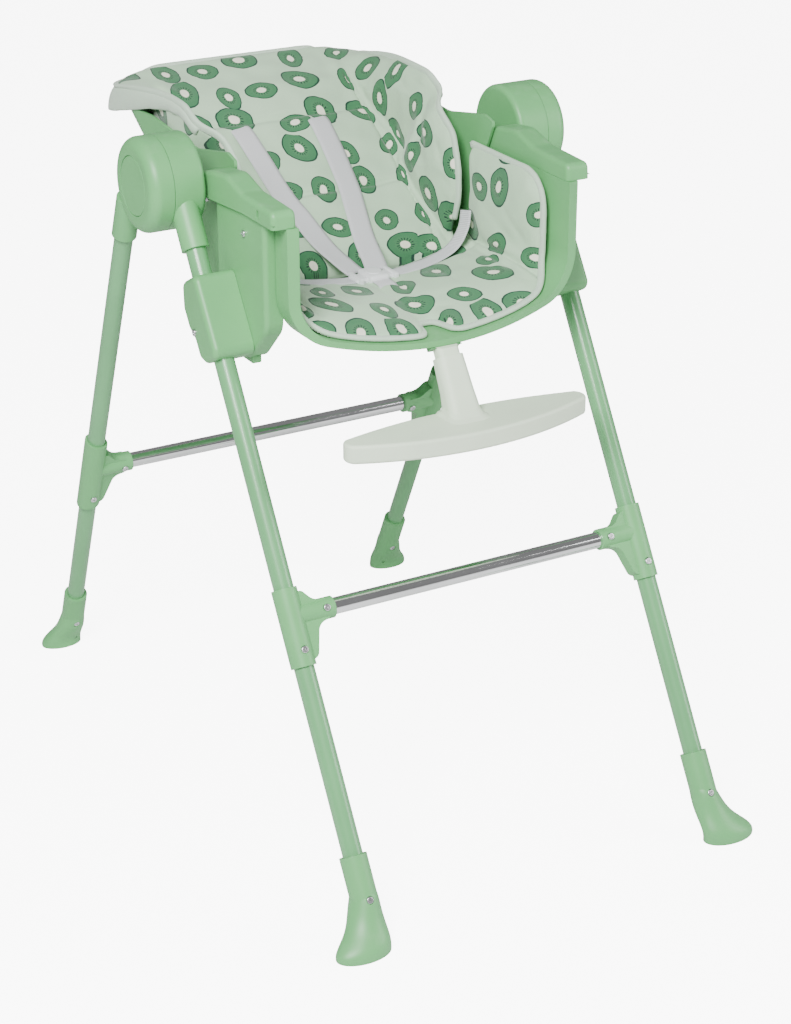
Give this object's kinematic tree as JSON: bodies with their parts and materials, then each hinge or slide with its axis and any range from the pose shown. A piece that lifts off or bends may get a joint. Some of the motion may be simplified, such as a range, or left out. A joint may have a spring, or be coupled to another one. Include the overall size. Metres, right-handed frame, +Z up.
{
  "type": "baby high chair",
  "caption": "Folding A-frame high chair with a height-adjustable bucket seat, reclining padded backrest, harness, armrests, footrest and splayed feet.",
  "frame": {"origin": "centre of the bounding box at floor level", "axes": "+Z up, -Y the way the occupant faces, +X towards the occupant's left"},
  "size_m": [0.613, 0.9538, 0.8718],
  "materials": {
    "frame_green": "satin",
    "plastic_green": "satin",
    "plastic_pale": "satin",
    "chrome": "polished",
    "steel": "plated",
    "pad_fabric": "printed woven fabric",
    "webbing": "ribbed webbing",
    "buckle_grey": "satin"
  },
  "bodies": {
    "front_frame": {"front_leg_left": "frame_green", "front_leg_right": "frame_green", "front_foot_left": "plastic_green", "front_foot_right": "plastic_green", "front_joint_left": "plastic_green", "front_joint_right": "plastic_green", "hub_inner_left": "plastic_green", "hub_inner_right": "plastic_green", "hub_axle_left": "steel", "hub_axle_right": "steel", "front_crossbar": "chrome", "screws_front": "steel"},
    "rear_frame": {"rear_leg_left": "frame_green", "rear_leg_right": "frame_green", "rear_foot_left": "plastic_green", "rear_foot_right": "plastic_green", "rear_joint_left": "plastic_green", "rear_joint_right": "plastic_green", "hub_outer_left": "plastic_green", "hub_outer_right": "plastic_green", "rear_crossbar": "chrome", "screws_rear": "steel"},
    "seat": {"seat_shell": "plastic_green", "side_housing_left": "plastic_green", "side_housing_right": "plastic_green", "carriage_left": "plastic_green", "carriage_right": "plastic_green", "armrest_left": "plastic_green", "armrest_right": "plastic_green", "recline_pin_left": "steel", "recline_pin_right": "steel", "footrest_socket": "plastic_green", "footrest_post": "plastic_pale", "seat_pad": "pad_fabric", "buckle": "buckle_grey", "crotch_strap": "webbing", "crotch_anchor": "buckle_grey", "waist_strap_left": "webbing", "waist_strap_right": "webbing", "screws_seat": "steel", "screws_carriage": "steel"},
    "backrest": {"backrest_shell": "plastic_green", "backrest_pad": "pad_fabric", "shoulder_strap_left": "webbing", "shoulder_strap_right": "webbing"},
    "recline_lever": {"recline_lever": "plastic_green"},
    "footrest": {"footrest": "plastic_pale"},
    "hub_button_left": {"hub_button_left": "plastic_green"},
    "hub_button_right": {"hub_button_right": "plastic_green"},
    "height_button_left": {"height_button_left": "plastic_green"},
    "height_button_right": {"height_button_right": "plastic_green"},
    "buckle_button": {"buckle_button": "buckle_grey"}
  },
  "joints": [
    {"name": "frame_fold", "type": "hinge", "parent": "front_frame", "child": "rear_frame", "pos_m": [0, 0.06329, 0.805], "axis": [-1, 0, 0], "range_deg": [0, 55]},
    {"name": "seat_height", "type": "slide", "parent": "front_frame", "child": "seat", "axis": [0, 0.5176, 0.8556], "range_m": [-0.25, 0.028]},
    {"name": "backrest_recline", "type": "hinge", "parent": "seat", "child": "backrest", "pos_m": [0, 0.04829, 0.655], "axis": [1, 0, 0], "range_deg": [-3, 40]},
    {"name": "footrest_height", "type": "slide", "parent": "seat", "child": "footrest", "axis": [0, 0.5176, 0.8556], "range_m": [-0.05, 0.004]},
    {"name": "recline_lever_pull", "type": "slide", "parent": "backrest", "child": "recline_lever", "axis": [0, 0.8387, 0.5446], "range_m": [0, 0.006], "stiffness_N_per_m": 600, "springref_m": -0.002},
    {"name": "hub_button_left_press", "type": "slide", "parent": "rear_frame", "child": "hub_button_left", "axis": [-1, 0, 0], "range_m": [0, 0.004], "stiffness_N_per_m": 600, "springref_m": -0.002},
    {"name": "hub_button_right_press", "type": "slide", "parent": "rear_frame", "child": "hub_button_right", "axis": [1, 0, 0], "range_m": [0, 0.004], "stiffness_N_per_m": 600, "springref_m": -0.002},
    {"name": "height_button_left_press", "type": "slide", "parent": "seat", "child": "height_button_left", "axis": [0, 0, 1], "range_m": [0, 0.004], "stiffness_N_per_m": 500, "springref_m": -0.002},
    {"name": "height_button_right_press", "type": "slide", "parent": "seat", "child": "height_button_right", "axis": [0, 0, 1], "range_m": [0, 0.004], "stiffness_N_per_m": 500, "springref_m": -0.002},
    {"name": "buckle_button_press", "type": "slide", "parent": "seat", "child": "buckle_button", "axis": [0, 0, -1], "range_m": [0, 0.0015], "stiffness_N_per_m": 400, "springref_m": -0.002}
  ]
}
